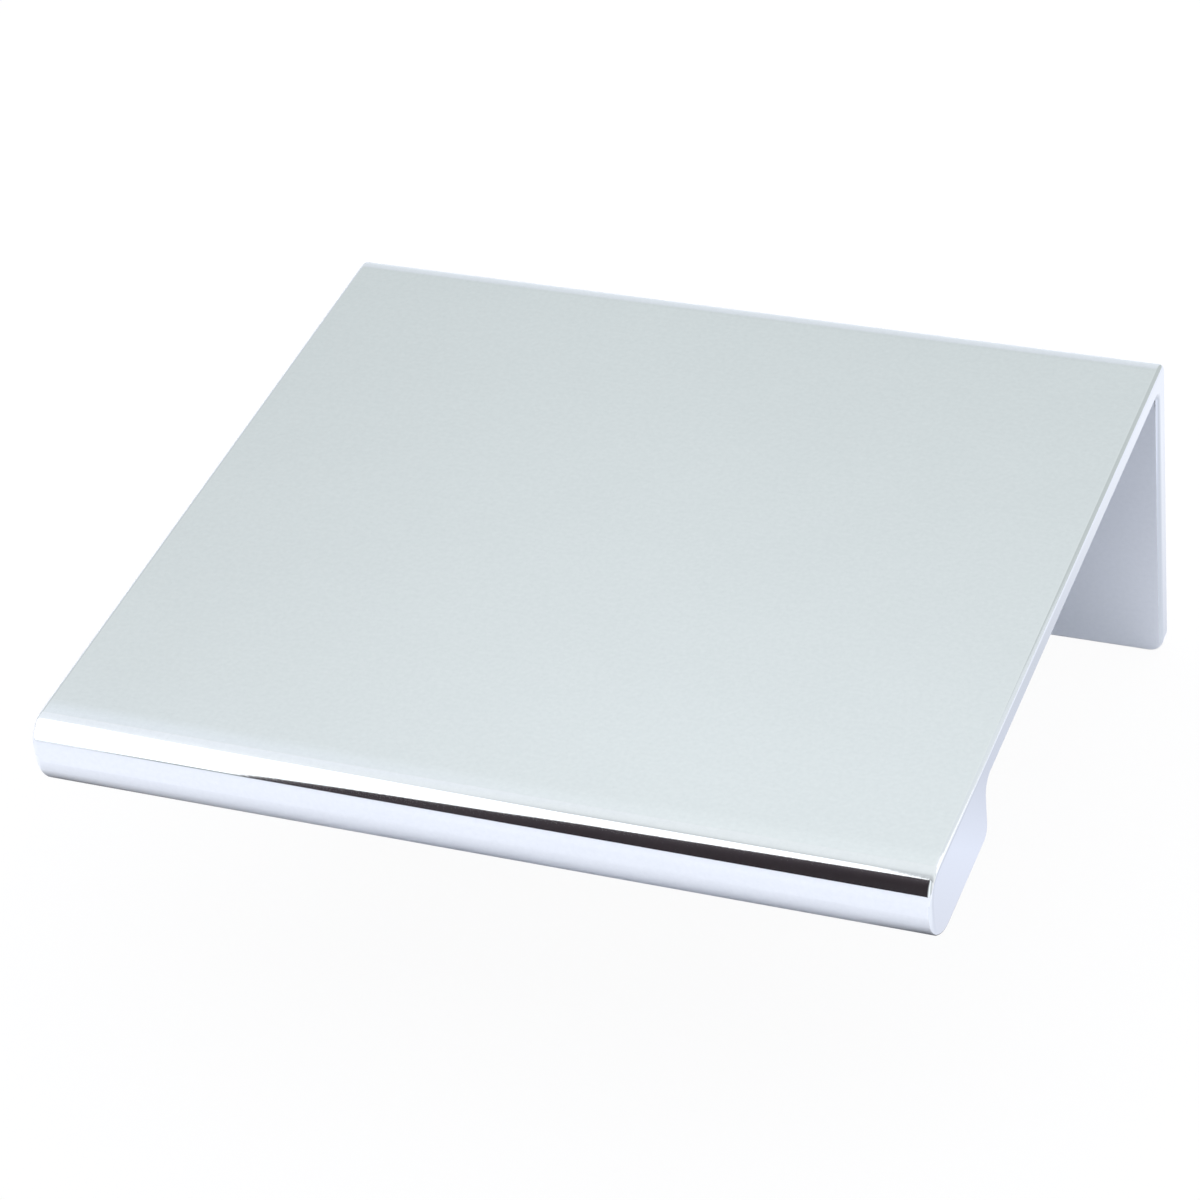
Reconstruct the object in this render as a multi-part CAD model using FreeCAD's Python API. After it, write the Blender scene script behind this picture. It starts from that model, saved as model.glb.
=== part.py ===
import FreeCAD, Part
import math
import os

# Tab pull for a drawer front or cabinet door, one solid casting, in millimetres.
# +X runs along the pull, +Y points to the back of the door, and +Z is up.
# The origin is midway between the two screw holes, on the flange face that lies
# against the back of the door.

# Overall sizes
LENGTH = 44.45
OVERALL_DEPTH = 41.0
OVERALL_HEIGHT = 18.2

# Plate over the door's edge, and flange down its back
PLATE_THICKNESS = 1.2
FLANGE_THICKNESS = 1.2
BEND_RADIUS = 0.5
FLANGE_FILLET = 0.5
FLANGE_CORNER_RADIUS = 0.8

# Buffing lets the top of the plate fall a little, towards the bend and towards the nose
BEND_FALL = 0.07
BEND_FALL_LENGTH = 0.8
BEND_FALL_RADIUS = 6.0
NOSE_FALL = 0.06
NOSE_FALL_LENGTH = 1.9
NOSE_FALL_RADIUS = 20.0

# Lip that the fingertips pull on
LIP_HEIGHT = 4.25
LIP_DEPTH = 8.5
NOSE_TOP_RADIUS = 1.3
NOSE_BOTTOM_RADIUS = 2.2
LIP_HEEL_RADIUS = 0.75
LIP_FILLET = 0.65

# Softened edge round both ends and the flange's foot
EDGE_ROUND = 0.25

# Countersunk screw holes, driven from behind
HOLE_SPACING = 32.0
HOLE_DIAMETER = 3.4
COUNTERSINK_DIAMETER = 5.0
COUNTERSINK_ANGLE = 90.0

# Levels and faces that follow from the sizes above
FLANGE_REACH = OVERALL_HEIGHT - PLATE_THICKNESS
PLATE_UNDERSIDE = FLANGE_REACH / 2
PLATE_TOP = PLATE_UNDERSIDE + PLATE_THICKNESS
FLANGE_FOOT = PLATE_UNDERSIDE - FLANGE_REACH
LIP_BOTTOM = PLATE_TOP - LIP_HEIGHT
FLANGE_FRONT = 0.0
FLANGE_BACK = FLANGE_FRONT + FLANGE_THICKNESS
NOSE_FRONT = FLANGE_BACK - OVERALL_DEPTH
LIP_HEEL = NOSE_FRONT + LIP_DEPTH
HALF_LENGTH = LENGTH / 2

# Overshoot of a cutting shape past the surface that it cuts
CUT_MARGIN = 1.0

ALONG_X = FreeCAD.Vector(1, 0, 0)
ALONG_Y = FreeCAD.Vector(0, 1, 0)


def corner_arc(before, point, after, radius):
    """Start, middle and end of the arc that rounds the corner at a point."""
    to_before = (before - point).normalize()
    to_after = (after - point).normalize()
    to_middle = (to_before + to_after).normalize()
    half_angle = to_before.getAngle(to_after) / 2
    setback = radius / math.tan(half_angle)
    middle = point + to_middle * (radius / math.sin(half_angle) - radius)
    return point + to_before * setback, middle, point + to_after * setback


def rounded_face(corners):
    """Flat face with straight sides, from its corner points and their radii."""
    points = [point for point, radius in corners]
    following = points[1:] + points[:1]
    arcs = [
        corner_arc(points[index - 1], point, following[index], radius)
        for index, (point, radius) in enumerate(corners)
    ]
    edges = []
    for index, (start, middle, end) in enumerate(arcs):
        if corners[index][1] > 0:
            edges.append(Part.Arc(start, middle, end).toShape())
        next_start = arcs[(index + 1) % len(arcs)][0]
        edges.append(Part.LineSegment(end, next_start).toShape())
    return Part.Face(Part.Wire(edges))


def section_point(y, z):
    """Point of the pull's section, on its left-hand end."""
    return FreeCAD.Vector(-HALF_LENGTH, y, z)


def make_section_bar():
    """Plate, flange and lip as one bar of constant section."""
    section = rounded_face([
        (section_point(FLANGE_BACK, PLATE_TOP - BEND_FALL), BEND_RADIUS),
        (section_point(FLANGE_BACK - BEND_FALL_LENGTH, PLATE_TOP), BEND_FALL_RADIUS),
        (section_point(NOSE_FRONT + NOSE_FALL_LENGTH, PLATE_TOP), NOSE_FALL_RADIUS),
        (section_point(NOSE_FRONT, PLATE_TOP - NOSE_FALL), NOSE_TOP_RADIUS),
        (section_point(NOSE_FRONT, LIP_BOTTOM), NOSE_BOTTOM_RADIUS),
        (section_point(LIP_HEEL, LIP_BOTTOM), LIP_HEEL_RADIUS),
        (section_point(LIP_HEEL, PLATE_UNDERSIDE), LIP_FILLET),
        (section_point(FLANGE_FRONT, PLATE_UNDERSIDE), FLANGE_FILLET),
        (section_point(FLANGE_FRONT, FLANGE_FOOT), 0),
        (section_point(FLANGE_BACK, FLANGE_FOOT), 0),
    ])
    return section.extrude(ALONG_X * LENGTH)


def make_front_outline():
    """Block seen from the front, with the flange's two lower corners rounded."""
    y = NOSE_FRONT - CUT_MARGIN
    top = PLATE_TOP + CUT_MARGIN
    outline = rounded_face([
        (FreeCAD.Vector(-HALF_LENGTH, y, FLANGE_FOOT), FLANGE_CORNER_RADIUS),
        (FreeCAD.Vector(HALF_LENGTH, y, FLANGE_FOOT), FLANGE_CORNER_RADIUS),
        (FreeCAD.Vector(HALF_LENGTH, y, top), 0),
        (FreeCAD.Vector(-HALF_LENGTH, y, top), 0),
    ])
    return outline.extrude(ALONG_Y * (OVERALL_DEPTH + 2 * CUT_MARGIN))


def is_end_or_foot_edge(edge):
    """True for the outline of either end face and for the edges of the flange's foot."""
    box = edge.BoundBox
    tolerance = 1e-4
    on_an_end = (abs(abs(box.XMin) - HALF_LENGTH) < tolerance
                 and box.XLength < tolerance)
    on_the_foot = (box.ZMax < FLANGE_FOOT + FLANGE_CORNER_RADIUS + tolerance
                   and box.YLength < tolerance)
    return on_an_end or on_the_foot


def soften_edges(body):
    """Round the edges of both ends and of the flange's foot."""
    edges = [edge for edge in body.Edges if is_end_or_foot_edge(edge)]
    return body.makeFillet(EDGE_ROUND, edges)


def make_screw_hole(x):
    """Clearance hole through the flange, with its countersink in the back face."""
    start = FreeCAD.Vector(x, FLANGE_FRONT - CUT_MARGIN, 0)
    hole = Part.makeCylinder(HOLE_DIAMETER / 2, FLANGE_THICKNESS + 2 * CUT_MARGIN,
                             start, ALONG_Y)
    slope = math.tan(math.radians(COUNTERSINK_ANGLE / 2))
    cone_length = COUNTERSINK_DIAMETER / 2 / slope
    cone_tip = FreeCAD.Vector(x, FLANGE_BACK - cone_length, 0)
    countersink = Part.makeCone(0, COUNTERSINK_DIAMETER / 2 + CUT_MARGIN * slope,
                                cone_length + CUT_MARGIN, cone_tip, ALONG_Y)
    return hole.fuse(countersink)


def make_pull_body():
    body = make_section_bar().common(make_front_outline())
    body = soften_edges(body.removeSplitter())
    for x in (-HOLE_SPACING / 2, HOLE_SPACING / 2):
        body = body.cut(make_screw_hole(x))
    return body.Solids[0]


os.makedirs("parts", exist_ok=True)
pull_body = make_pull_body()
pull_body.exportStep("parts/pull_body.step")
print("pull_body: volume", round(pull_body.Volume, 1), "mm3, valid", pull_body.isValid())
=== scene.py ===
import math

import bmesh
import bpy
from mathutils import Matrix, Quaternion, Vector


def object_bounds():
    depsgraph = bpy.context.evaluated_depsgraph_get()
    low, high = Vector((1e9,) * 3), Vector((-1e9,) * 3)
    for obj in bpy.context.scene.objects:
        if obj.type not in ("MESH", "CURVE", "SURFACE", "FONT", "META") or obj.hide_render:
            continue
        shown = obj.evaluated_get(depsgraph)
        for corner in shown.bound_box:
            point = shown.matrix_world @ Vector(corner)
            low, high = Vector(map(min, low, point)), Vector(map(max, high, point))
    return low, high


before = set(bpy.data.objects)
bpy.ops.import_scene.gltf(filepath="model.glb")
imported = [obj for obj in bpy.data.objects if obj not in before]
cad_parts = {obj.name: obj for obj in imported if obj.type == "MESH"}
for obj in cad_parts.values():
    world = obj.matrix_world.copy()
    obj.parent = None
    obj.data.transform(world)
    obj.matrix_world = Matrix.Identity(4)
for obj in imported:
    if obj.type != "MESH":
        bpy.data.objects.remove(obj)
cad_low, cad_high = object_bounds()

# Camera, as fitted to the edges of the pull in the photograph
AIM_POINT = Vector((0.00095, -0.02423, cad_high.z))
CAMERA_DISTANCE = 0.19651
CAMERA_AZIMUTH = math.radians(24.628)
CAMERA_ELEVATION = math.radians(37.629)
CAMERA_ROLL = math.radians(-6.795)
CAMERA_LENS_MM = 122.74
SENSOR_WIDTH_MM = 36.0
CLIP_START = 0.01
CLIP_END = 20.0

# Floor, world and lamp
FLOOR_SIZE = 6.0
FLOOR_COLOR = (0.965, 0.95, 0.98, 1.0)
FLOOR_WHITE_TO_CAMERA = 0.945
WORLD_AMBIENT = (0.46, 0.50, 0.56, 1.0)
LAMP_SIZE = 1.6
LAMP_PLACE = Vector((0.06, 0.32, 0.9))
LAMP_POWER = 12.2

# Boards that only the metal sees. Walls stand on the floor, and overhead boards hang level.
# A list of tones gives the tone at places along one axis, in metres, and blends in between
WHITE = (1.0, 1.0, 1.0)
PLAIN_WHITE = [(0.0, WHITE)]
BRIGHT = 1.7
BOARD_GAP = 0.01
WALL_REACH = 3.0

# Front wall. The nose shows its dark board as the stripe. The left edge of that board leans
# out above a bend, and a low pale board stands beside its foot
FRONT_WALL_Y = -1.0
FRONT_WALL_TOP = 2.35
DARK_BOARD_FOOT_X = -0.434
DARK_BOARD_BEND = (-0.45, 0.75)
DARK_BOARD_TOP_X = -0.63
DARK_TONES = [
    (-0.50, (0.086, 0.072, 0.080)),
    (-0.40, (0.060, 0.049, 0.055)),
    (-0.34, (0.043, 0.034, 0.039)),
    (-0.28, (0.036, 0.028, 0.032)),
    (-0.17, (0.040, 0.034, 0.038)),
    (-0.04, (0.24, 0.25, 0.26)),
    (0.28, (1.20, 1.24, 1.26)),
    (0.60, (1.20, 1.24, 1.26)),
    (0.95, (0.66, 0.69, 0.70)),
    (3.00, (0.84, 0.88, 0.90)),
]
LOW_BOARD_LEFT_X = -1.4
LOW_BOARD_LEFT_TOP = 0.03
LOW_BOARD_RIGHT_TOP = 0.07
LOW_TONES = [
    (-0.488, (1.05, 1.10, 1.12)),
    (-0.478, (0.80, 0.85, 0.86)),
    (-0.466, (0.45, 0.50, 0.50)),
]

# Overhead boards: a softbox, which the nose shows as its white band, and a softer board
OVERHEAD_Z = 0.8
OVERHEAD_REACH = 2.0
OVERHEAD_FRONT_Y = -0.36
OVERHEAD_REAR_Y = 0.50
SOFTBOX_REAR_EDGE = [
    (-0.191, -0.125),
    (-0.275, -0.163),
    (-0.33, -0.08),
    (-0.36, -0.05),
    (-0.385, -0.02),
    (-0.41, 0.06),
    (-OVERHEAD_REACH, 0.30),
]
OVERHEAD_LEFT_TONES = [
    (-0.40, (1.25, 1.28, 1.32)),
    (-0.12, (1.22, 1.25, 1.29)),
    (-0.05, (1.16, 1.19, 1.23)),
    (0.02, (1.11, 1.14, 1.18)),
    (0.09, (1.07, 1.10, 1.14)),
    (0.15, (1.04, 1.07, 1.11)),
    (0.30, (1.01, 1.04, 1.08)),
    (0.50, (1.00, 1.03, 1.07)),
]
OVERHEAD_RIGHT_TONES = [
    (-0.40, (0.26, 0.26, 0.27)),
    (-0.27, (0.62, 0.64, 0.65)),
    (-0.12, (0.70, 0.72, 0.73)),
    (-0.05, (0.83, 0.86, 0.86)),
    (0.02, (0.91, 0.94, 0.94)),
    (0.09, (0.95, 0.98, 0.98)),
    (0.20, (0.97, 1.00, 1.00)),
    (0.50, (0.99, 1.02, 1.02)),
]
OVERHEAD_BLEND = (-0.42, -0.24)

# Back wall, which gives the top of the plate its greys
BACK_WALL_Y = 1.0
BACK_WALL_TOP = 1.5
BACK_WALL_STRENGTH = 1.10
BACK_WALL_LEFT_TONES = [
    (0.45, (0.744, 0.777, 0.804)),
    (0.60, (0.650, 0.675, 0.700)),
    (0.66, (0.588, 0.623, 0.614)),
    (0.73, (0.606, 0.640, 0.632)),
    (0.95, (0.730, 0.766, 0.757)),
    (1.08, (0.820, 0.860, 0.880)),
    (1.20, (0.870, 0.905, 0.950)),
    (1.50, (0.920, 0.955, 1.010)),
]
BACK_WALL_RIGHT_TONES = [
    (0.45, (0.86, 0.90, 0.93)),
    (0.60, (0.75, 0.78, 0.81)),
    (0.66, (0.68, 0.72, 0.71)),
    (0.73, (0.70, 0.74, 0.73)),
    (0.95, (0.82, 0.86, 0.855)),
    (1.08, (0.86, 0.90, 0.895)),
    (1.20, (0.88, 0.92, 0.915)),
    (1.50, (0.90, 0.94, 0.935)),
]
BACK_WALL_BLEND = (-0.78, -0.42)

# What the rounded right edge of the plate reflects: a white board, and before it a pale and
# a grey one. The outer edges of these two follow a border in X and Z, moved up by the board's
# own step and to the right by a share of that step
WHITE_EDGE_REACH = 2.0
WHITE_EDGE_FOOT = 0.02
WHITE_EDGE_STRENGTH = 1.3
WHITE_EDGE_TONES = [(0.85, WHITE), (1.08, (0.76, 0.78, 0.80))]
EDGE_BORDER = [
    (0.05, 1.04),
    (0.19, 1.03),
    (0.51, 0.90),
    (0.756, 0.67),
    (0.914, 0.36),
    (0.97, 0.02),
]
EDGE_STEP_TO_RIGHT = 0.6
PALE_EDGE_STEP = 0.05
PALE_EDGE_TONE = (0.86, 0.90, 0.92)
GREY_EDGE_STEP = -0.105
GREY_EDGE_TONE = (0.62, 0.66, 0.65)

# Card on the floor at the right, which only the metal sees, glowing in tones along Y. The tones are the
# pale floor with painted shade: darker bands near the pull, where it shades the floor
CARD_LEFT = 0.0224
CARD_FRONT = -0.06
CARD_REACH = 0.30
CARD_LIFT = 0.0002
CARD_STRENGTH = 1.10
CARD_FLOOR_AND_SHADE_TONES = [
    (-0.048, (0.92, 0.95, 1.03)),
    (-0.035, (0.765, 0.79, 0.885)),
    (-0.024, (0.755, 0.78, 0.875)),
    (-0.018, (0.81, 0.845, 0.965)),
    (-0.012, (0.67, 0.70, 0.795)),
    (-0.002, (0.655, 0.685, 0.755)),
    (0.004, (0.74, 0.765, 0.845)),
    (0.010, (0.82, 0.845, 0.915)),
    (0.016, (0.865, 0.89, 0.965)),
    (0.020, (0.90, 0.925, 1.01)),
]

# Painted shadow: a grey film on the floor under the nose, which only the metal sees and which darkens the
# floor there, more towards its ends: places in Y with what it lets through, and places in X with how much
# of that applies
FILM_LEFT = -0.06
FILM_RIGHT = 0.0222
FILM_REAR = -0.022
FILM_LIFT = 0.0003
SHADE_FILM_TONES = [
    (-0.054, 1.00),
    (-0.050, 0.92),
    (-0.044, 0.85),
    (-0.041, 0.69),
    (-0.0376, 0.50),
    (-0.0338, 0.29),
    (-0.0295, 0.18),
]
SHADE_FILM_SHARES = [
    (-0.035, 0.00),
    (-0.031, 0.85),
    (-0.029, 1.00),
    (-0.021, 0.66),
    (-0.016, 0.42),
    (-0.012, 0.15),
    (-0.005, 0.22),
    (0.002, 0.05),
    (0.007, 0.20),
    (0.0126, 0.40),
    (0.0145, 0.50),
    (0.0165, 0.80),
    (0.0180, 1.00),
]

# Chrome plate. Patterns have a scale in cycles a metre, and each one has its share in the
# tint, what it adds to the roughness, and its height in micrometres
CHROME_COLORS = [(0.75, 0.781, 0.812, 1.0), (0.85, 0.879, 0.908, 1.0)]
CHROME_ROUGHNESS = 0.026
EDGE_COLOR = (0.82, 0.845, 0.87, 1.0)
EDGE_REACH = 0.00045
CLOUD_SCALE = 160.0
WAVE_SCALE = 120.0
GRAIN_SCALE = 4200.0
LINE_SCALE = 7000.0
LINE_STRETCH = 0.03
TINT_SHARES = {"clouds": 0.20, "grain": 0.65, "lines": 0.15}
ROUGHNESS_SHARES = {"clouds": 0.022, "lines": 0.012, "grain": 0.008, "edges": 0.030}
PATTERN_HEIGHTS = {"waves": 14.0, "grain": 0.35, "lines": 0.2}
MICROMETRE = 1e-6

# Places of the color sockets on a Mix node
MIX_FIRST = 6
MIX_SECOND = 7
MIX_RESULT = 2


def link_object(name, data):
    """New object in the scene."""
    thing = bpy.data.objects.new(name, data)
    bpy.context.scene.collection.objects.link(thing)
    return thing


def new_material(name):
    """Empty node material with its output."""
    material = bpy.data.materials.new(name)
    material.use_nodes = True
    nodes, links = material.node_tree.nodes, material.node_tree.links
    nodes.clear()
    output = nodes.new("ShaderNodeOutputMaterial")
    return material, nodes, links, output.inputs["Surface"]


def math_node(nodes, links, operation, first, second=0.0):
    """Result of a math node, from sockets or plain numbers."""
    node = nodes.new("ShaderNodeMath")
    node.operation = operation
    for socket, value in zip(node.inputs, (first, second)):
        if isinstance(value, (int, float)):
            socket.default_value = value
        else:
            links.new(value, socket)
    return node.outputs[0]


def weighted_sum(nodes, links, base, values, weights):
    """A number plus the named values, each times its weight."""
    total = base
    for name, weight in weights.items():
        part = math_node(nodes, links, "MULTIPLY", values[name], weight)
        total = math_node(nodes, links, "ADD", part, total)
    return total


def smooth_step(nodes, links, value, start, end):
    """Share that goes from 0 to 1 as a value goes from a start to an end."""
    step = nodes.new("ShaderNodeMapRange")
    step.interpolation_type = "SMOOTHSTEP"
    step.inputs["From Min"].default_value = start
    step.inputs["From Max"].default_value = end
    links.new(value, step.inputs["Value"])
    return step.outputs["Result"]


def object_place(nodes, links):
    """Place on the object, as its three numbers."""
    coordinates = nodes.new("ShaderNodeTexCoord")
    place = nodes.new("ShaderNodeSeparateXYZ")
    links.new(coordinates.outputs["Object"], place.inputs[0])
    return place.outputs


def tone_ramp(nodes, links, value, tones):
    """Color that blends through the tones given at places along a value."""
    low, high = tones[0][0], tones[-1][0]
    share = nodes.new("ShaderNodeMapRange")
    share.inputs["From Min"].default_value = low
    share.inputs["From Max"].default_value = high
    links.new(value, share.inputs["Value"])
    ramp = nodes.new("ShaderNodeValToRGB")
    stops = ramp.color_ramp.elements
    stops[0].color = (*tones[0][1], 1)
    stops[1].color = (*tones[-1][1], 1)
    for position, color in tones[1:-1]:
        stops.new((position - low) / (high - low)).color = (*color, 1)
    links.new(share.outputs["Result"], ramp.inputs["Fac"])
    return ramp.outputs["Color"]


def level_ramp(nodes, links, value, levels):
    """Grey that blends through the levels given at places along a value."""
    return tone_ramp(nodes, links, value, [(place, (level,) * 3) for place, level in levels])


def mix_colors(nodes, links, share, first, second):
    """Color between two, by a share."""
    mix = nodes.new("ShaderNodeMix")
    mix.data_type = "RGBA"
    links.new(share, mix.inputs["Factor"])
    for socket, color in ((mix.inputs[MIX_FIRST], first), (mix.inputs[MIX_SECOND], second)):
        if isinstance(color, tuple):
            socket.default_value = color
        else:
            links.new(color, socket)
    return mix.outputs[MIX_RESULT]


def mix_shaders(nodes, links, share, first, second):
    """Shader between two, by a share."""
    mix = nodes.new("ShaderNodeMixShader")
    for socket, value in zip(mix.inputs, (share, first.outputs[0], second.outputs[0])):
        links.new(value, socket)
    return mix.outputs[0]


def make_camera():
    """Camera at the photograph's viewing angle, turned by the photograph's roll."""
    flat = math.cos(CAMERA_ELEVATION)
    back = Vector((
        math.sin(CAMERA_AZIMUTH) * flat,
        -math.cos(CAMERA_AZIMUTH) * flat,
        math.sin(CAMERA_ELEVATION),
    ))
    data = bpy.data.cameras.new("camera")
    data.sensor_width = SENSOR_WIDTH_MM
    data.lens = CAMERA_LENS_MM
    data.clip_start = CLIP_START
    data.clip_end = CLIP_END
    camera = link_object("camera", data)
    camera.location = AIM_POINT + back * CAMERA_DISTANCE
    camera.rotation_mode = "QUATERNION"
    without_roll = (-back).to_track_quat("-Z", "Y")
    camera.rotation_quaternion = without_roll @ Quaternion((0, 0, 1), CAMERA_ROLL)
    bpy.context.scene.camera = camera


def make_world():
    """White to the camera and in metal, and a soft bluish light on the floor."""
    world = bpy.data.worlds.new("studio")
    bpy.context.scene.world = world
    world.use_nodes = True
    nodes, links = world.node_tree.nodes, world.node_tree.links
    nodes.clear()
    path = nodes.new("ShaderNodeLightPath")
    seen = path.outputs["Is Camera Ray"]
    for ray in ("Is Glossy Ray", "Is Transmission Ray"):
        seen = math_node(nodes, links, "MAXIMUM", seen, path.outputs[ray])
    ambient = nodes.new("ShaderNodeBackground")
    ambient.inputs["Color"].default_value = WORLD_AMBIENT
    white = nodes.new("ShaderNodeBackground")
    white.inputs["Color"].default_value = (*WHITE, 1)
    output = nodes.new("ShaderNodeOutputWorld")
    links.new(mix_shaders(nodes, links, seen, ambient, white), output.inputs["Surface"])


def make_lamp():
    """Soft lamp over the pull, for the floor and its shadow."""
    data = bpy.data.lights.new("soft_lamp", "AREA")
    data.shape = "SQUARE"
    data.size = LAMP_SIZE
    data.energy = LAMP_POWER
    lamp = link_object("soft_lamp", data)
    lamp.location = LAMP_PLACE
    lamp.visible_glossy = False
    lamp.visible_camera = False


def floor_material():
    """Pale matt floor, lifted to white for the camera."""
    material, nodes, links, surface = new_material("pale_floor")
    path = nodes.new("ShaderNodeLightPath")
    share = math_node(nodes, links, "MULTIPLY", path.outputs["Is Camera Ray"], FLOOR_WHITE_TO_CAMERA)
    matt = nodes.new("ShaderNodeBsdfDiffuse")
    matt.inputs["Color"].default_value = FLOOR_COLOR
    white = nodes.new("ShaderNodeEmission")
    white.inputs["Color"].default_value = (*WHITE, 1)
    links.new(mix_shaders(nodes, links, share, matt, white), surface)
    return material


def make_floor():
    """Floor that the flange's foot stands on."""
    shape = bmesh.new()
    bmesh.ops.create_grid(shape, x_segments=1, y_segments=1, size=FLOOR_SIZE / 2)
    bmesh.ops.translate(shape, vec=(0, 0, cad_low.z), verts=shape.verts)
    mesh = bpy.data.meshes.new("floor")
    shape.to_mesh(mesh)
    shape.free()
    mesh.materials.append(floor_material())
    link_object("floor", mesh)


def glow_material(name, tones, axis, strength, right_tones, blend):
    """Glow of one tone, or of several tones that blend along an axis.

    With tones for the right as well, the left ones turn into them between two places in X.
    """
    material, nodes, links, surface = new_material(name)
    glow = nodes.new("ShaderNodeEmission")
    glow.inputs["Strength"].default_value = strength
    glow.inputs["Color"].default_value = (*tones[0][1], 1)
    links.new(glow.outputs[0], surface)
    if len(tones) > 1:
        place = object_place(nodes, links)
        color = tone_ramp(nodes, links, place[axis], tones)
        if right_tones:
            right_color = tone_ramp(nodes, links, place[axis], right_tones)
            share = smooth_step(nodes, links, place["X"], *blend)
            color = mix_colors(nodes, links, share, color, right_color)
        links.new(color, glow.inputs["Color"])
    return material


def shade_film_material():
    """Clear film that paints shadow on the floor under it, by dimming the floor as the metal sees it."""
    material, nodes, links, surface = new_material("painted_shade_film")
    place = object_place(nodes, links)
    through = level_ramp(nodes, links, place["Y"], SHADE_FILM_TONES)
    share = level_ramp(nodes, links, place["X"], SHADE_FILM_SHARES)
    clear = nodes.new("ShaderNodeBsdfTransparent")
    links.new(mix_colors(nodes, links, share, (*WHITE, 1.0), through), clear.inputs["Color"])
    links.new(clear.outputs[0], surface)
    return material


def upright(left, right, low, high, y):
    """Corners of an upright rectangle at a place in Y."""
    return [(left, y, low), (right, y, low), (right, y, high), (left, y, high)]


def level(left, right, front, rear, z):
    """Corners of a level rectangle at a height."""
    return [(left, front, z), (right, front, z), (right, rear, z), (left, rear, z)]


def make_board(name, corners, material):
    """Flat board between its corners, seen by the metal alone."""
    shape = bmesh.new()
    shape.faces.new([shape.verts.new(corner) for corner in corners])
    mesh = bpy.data.meshes.new(name)
    shape.to_mesh(mesh)
    shape.free()
    mesh.materials.append(material)
    board = link_object(name, mesh)
    board.visible_camera = False
    board.visible_diffuse = False
    board.visible_shadow = False


def make_glow_board(name, corners, tones, axis="Z", strength=1.0, right_tones=None, blend=None):
    """Board that glows in its tones."""
    make_board(name, corners, glow_material(name, tones, axis, strength, right_tones, blend))


def make_front_walls():
    """Dark board that turns pale to the right, a low one beside its foot, and a white one behind."""
    white_board = upright(-WALL_REACH, 0, cad_low.z, FRONT_WALL_TOP, FRONT_WALL_Y - 2 * BOARD_GAP)
    make_glow_board("white_front_board", white_board, PLAIN_WHITE, strength=BRIGHT)
    bend_x, bend_z = DARK_BOARD_BEND
    make_glow_board("dark_front_board", [
        (DARK_BOARD_FOOT_X, FRONT_WALL_Y, cad_low.z),
        (WALL_REACH, FRONT_WALL_Y, cad_low.z),
        (WALL_REACH, FRONT_WALL_Y, FRONT_WALL_TOP),
        (DARK_BOARD_TOP_X, FRONT_WALL_Y, FRONT_WALL_TOP),
        (bend_x, FRONT_WALL_Y, bend_z),
    ], DARK_TONES, axis="X")
    make_glow_board("low_front_board", [
        (LOW_BOARD_LEFT_X, FRONT_WALL_Y, cad_low.z),
        (DARK_BOARD_FOOT_X, FRONT_WALL_Y, cad_low.z),
        (DARK_BOARD_FOOT_X, FRONT_WALL_Y, LOW_BOARD_RIGHT_TOP),
        (LOW_BOARD_LEFT_X, FRONT_WALL_Y, LOW_BOARD_LEFT_TOP),
    ], LOW_TONES, axis="X")


def make_overhead_boards():
    """White softbox overhead with a slanted rear edge, and a softer board over it."""
    right = SOFTBOX_REAR_EDGE[0][0]
    outline = [(-OVERHEAD_REACH, OVERHEAD_FRONT_Y), (right, OVERHEAD_FRONT_Y)] + SOFTBOX_REAR_EDGE
    softbox = [(x, y, OVERHEAD_Z) for x, y in outline]
    make_glow_board("overhead_softbox", softbox, PLAIN_WHITE, strength=BRIGHT)
    soft_board = level(-OVERHEAD_REACH, OVERHEAD_REACH, OVERHEAD_FRONT_Y, OVERHEAD_REAR_Y,
                       OVERHEAD_Z + BOARD_GAP)
    make_glow_board("overhead_soft_board", soft_board, OVERHEAD_LEFT_TONES, axis="Y",
                    right_tones=OVERHEAD_RIGHT_TONES, blend=OVERHEAD_BLEND)


def make_back_wall():
    """Pale wall behind."""
    wall = upright(-WALL_REACH, WALL_REACH, cad_low.z, BACK_WALL_TOP, BACK_WALL_Y)
    make_glow_board("back_wall", wall, BACK_WALL_LEFT_TONES, strength=BACK_WALL_STRENGTH,
                    right_tones=BACK_WALL_RIGHT_TONES, blend=BACK_WALL_BLEND)


def make_edge_boards():
    """White, pale and grey boards before the back wall, at its right."""
    left = EDGE_BORDER[0][0]
    white_board = upright(left, WHITE_EDGE_REACH, WHITE_EDGE_FOOT, BACK_WALL_TOP, BACK_WALL_Y - BOARD_GAP)
    make_glow_board("white_edge_board", white_board, WHITE_EDGE_TONES, strength=WHITE_EDGE_STRENGTH)
    for name, gaps, step, tone in (
        ("pale_edge_board", 2, PALE_EDGE_STEP, PALE_EDGE_TONE),
        ("grey_edge_board", 3, GREY_EDGE_STEP, GREY_EDGE_TONE),
    ):
        y = BACK_WALL_Y - gaps * BOARD_GAP
        border = [(x + step * EDGE_STEP_TO_RIGHT, y, z + step) for x, z in EDGE_BORDER]
        top, right = border[0][2], border[-1][0]
        make_glow_board(name, border + [(right, y, 0.0), (left, y, 0.0), (left, y, top)], [(0.0, tone)])


def make_shaded_floor_card():
    """Card on the floor at the right, which the ends of the plate and the flange reflect, with painted
    shade of the pull in its tones.
    """
    card = level(CARD_LEFT, CARD_REACH, CARD_FRONT, CARD_REACH, cad_low.z + CARD_LIFT)
    make_glow_board("floor_card", card, CARD_FLOOR_AND_SHADE_TONES, axis="Y", strength=CARD_STRENGTH)


def make_painted_shade_film():
    """Film of painted shadow on the floor under the nose, which only the metal sees."""
    film = level(FILM_LEFT, FILM_RIGHT, SHADE_FILM_TONES[0][0], FILM_REAR, cad_low.z + FILM_LIFT)
    make_board("floor_film", film, shade_film_material())


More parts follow.
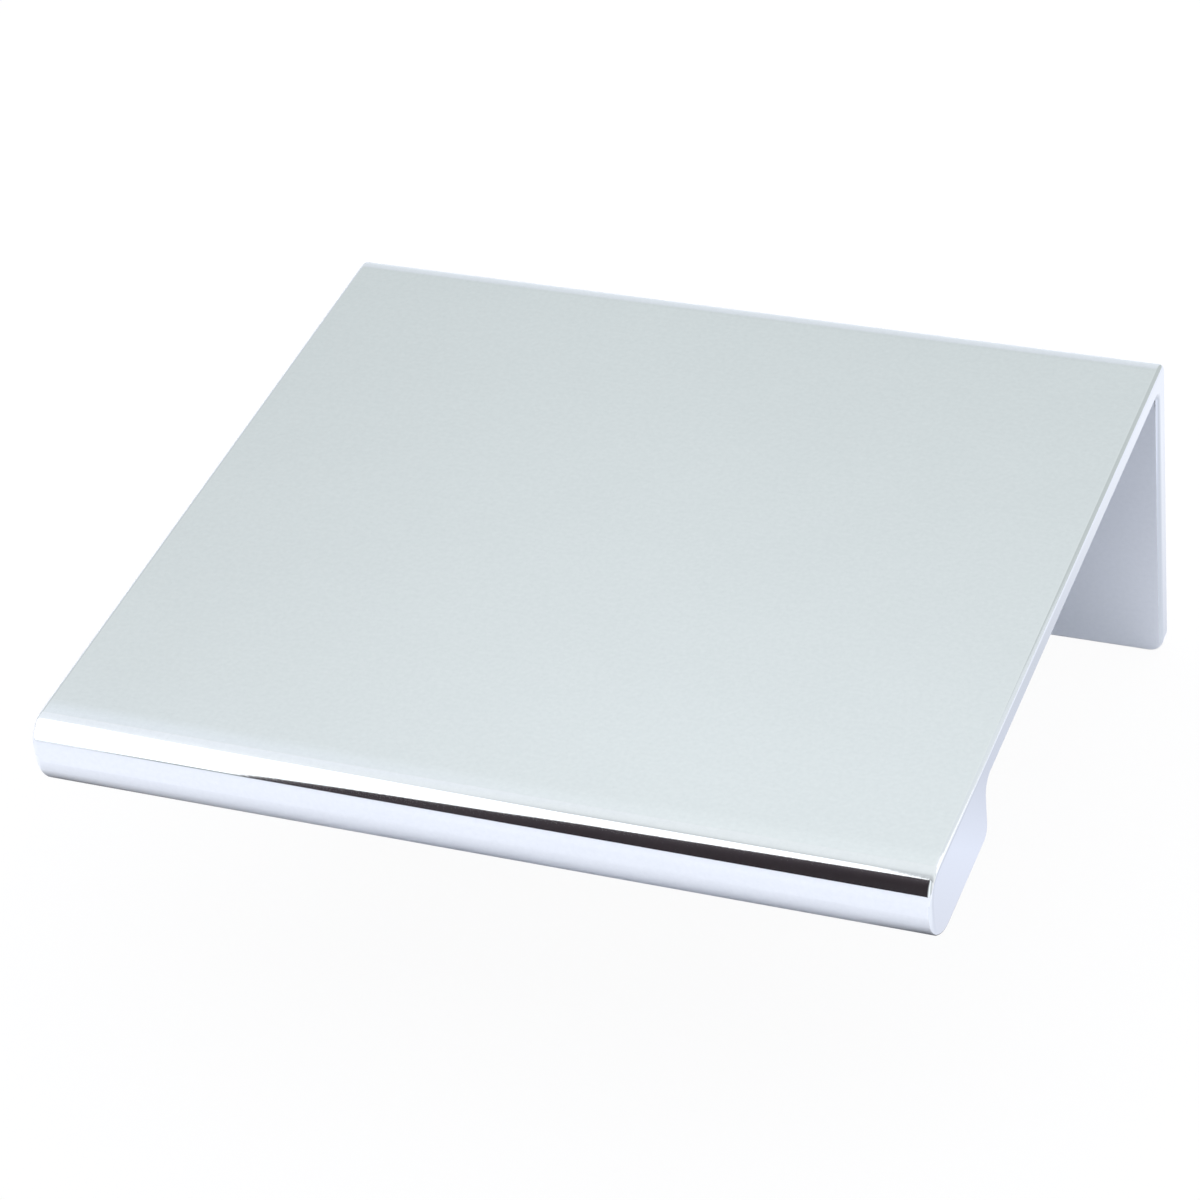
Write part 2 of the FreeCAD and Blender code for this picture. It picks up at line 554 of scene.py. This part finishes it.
def softened_edges(nodes, links):
    """Share that goes from 0 to 1 towards both ends and towards the flange's foot."""
    place = object_place(nodes, links)
    along = math_node(nodes, links, "ABSOLUTE", place["X"])
    ends = smooth_step(nodes, links, along, cad_high.x - EDGE_REACH, cad_high.x)
    foot = smooth_step(nodes, links, place["Z"], cad_low.z + EDGE_REACH, cad_low.z)
    return math_node(nodes, links, "MAXIMUM", ends, foot)


def noise_node(nodes, links, vector, scale, detail):
    """Noise between 0 and 1 at a number of cycles a metre."""
    noise = nodes.new("ShaderNodeTexNoise")
    noise.inputs["Scale"].default_value = scale
    noise.inputs["Detail"].default_value = detail
    links.new(vector, noise.inputs["Vector"])
    return noise.outputs["Fac"]


def chrome_material():
    """Polished chrome with clouding, waves, grain, buffing lines along the pull and softer edges."""
    material, nodes, links, surface = new_material("polished_chrome")
    coordinates = nodes.new("ShaderNodeTexCoord").outputs["Object"]
    stretch = nodes.new("ShaderNodeMapping")
    stretch.inputs["Scale"].default_value = (LINE_STRETCH, 1.0, 1.0)
    links.new(coordinates, stretch.inputs["Vector"])
    patterns = {
        "clouds": noise_node(nodes, links, coordinates, CLOUD_SCALE, detail=3.0),
        "waves": noise_node(nodes, links, coordinates, WAVE_SCALE, detail=1.0),
        "grain": noise_node(nodes, links, coordinates, GRAIN_SCALE, detail=2.0),
        "lines": noise_node(nodes, links, stretch.outputs["Vector"], LINE_SCALE, detail=2.0),
        "edges": softened_edges(nodes, links),
    }

    metal = nodes.new("ShaderNodeBsdfPrincipled")
    metal.inputs["Metallic"].default_value = 1.0
    mottle = weighted_sum(nodes, links, 0.0, patterns, TINT_SHARES)
    tint = mix_colors(nodes, links, mottle, *CHROME_COLORS)
    color = mix_colors(nodes, links, patterns["edges"], tint, EDGE_COLOR)
    links.new(color, metal.inputs["Base Color"])
    roughness = weighted_sum(nodes, links, CHROME_ROUGHNESS, patterns, ROUGHNESS_SHARES)
    links.new(roughness, metal.inputs["Roughness"])

    bump = nodes.new("ShaderNodeBump")
    bump.inputs["Strength"].default_value = 1.0
    bump.inputs["Distance"].default_value = MICROMETRE
    height = weighted_sum(nodes, links, 0.0, patterns, PATTERN_HEIGHTS)
    links.new(height, bump.inputs["Height"])
    links.new(bump.outputs["Normal"], metal.inputs["Normal"])
    links.new(metal.outputs[0], surface)
    return material


make_camera()
make_world()
make_floor()
make_lamp()
make_front_walls()
make_overhead_boards()
make_back_wall()
make_edge_boards()
make_shaded_floor_card()
make_painted_shade_film()

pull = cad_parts["pull_body"]
chrome = chrome_material()
for material_slot in pull.material_slots:
    material_slot.material = chrome

bpy.context.scene.view_settings.view_transform = "Standard"
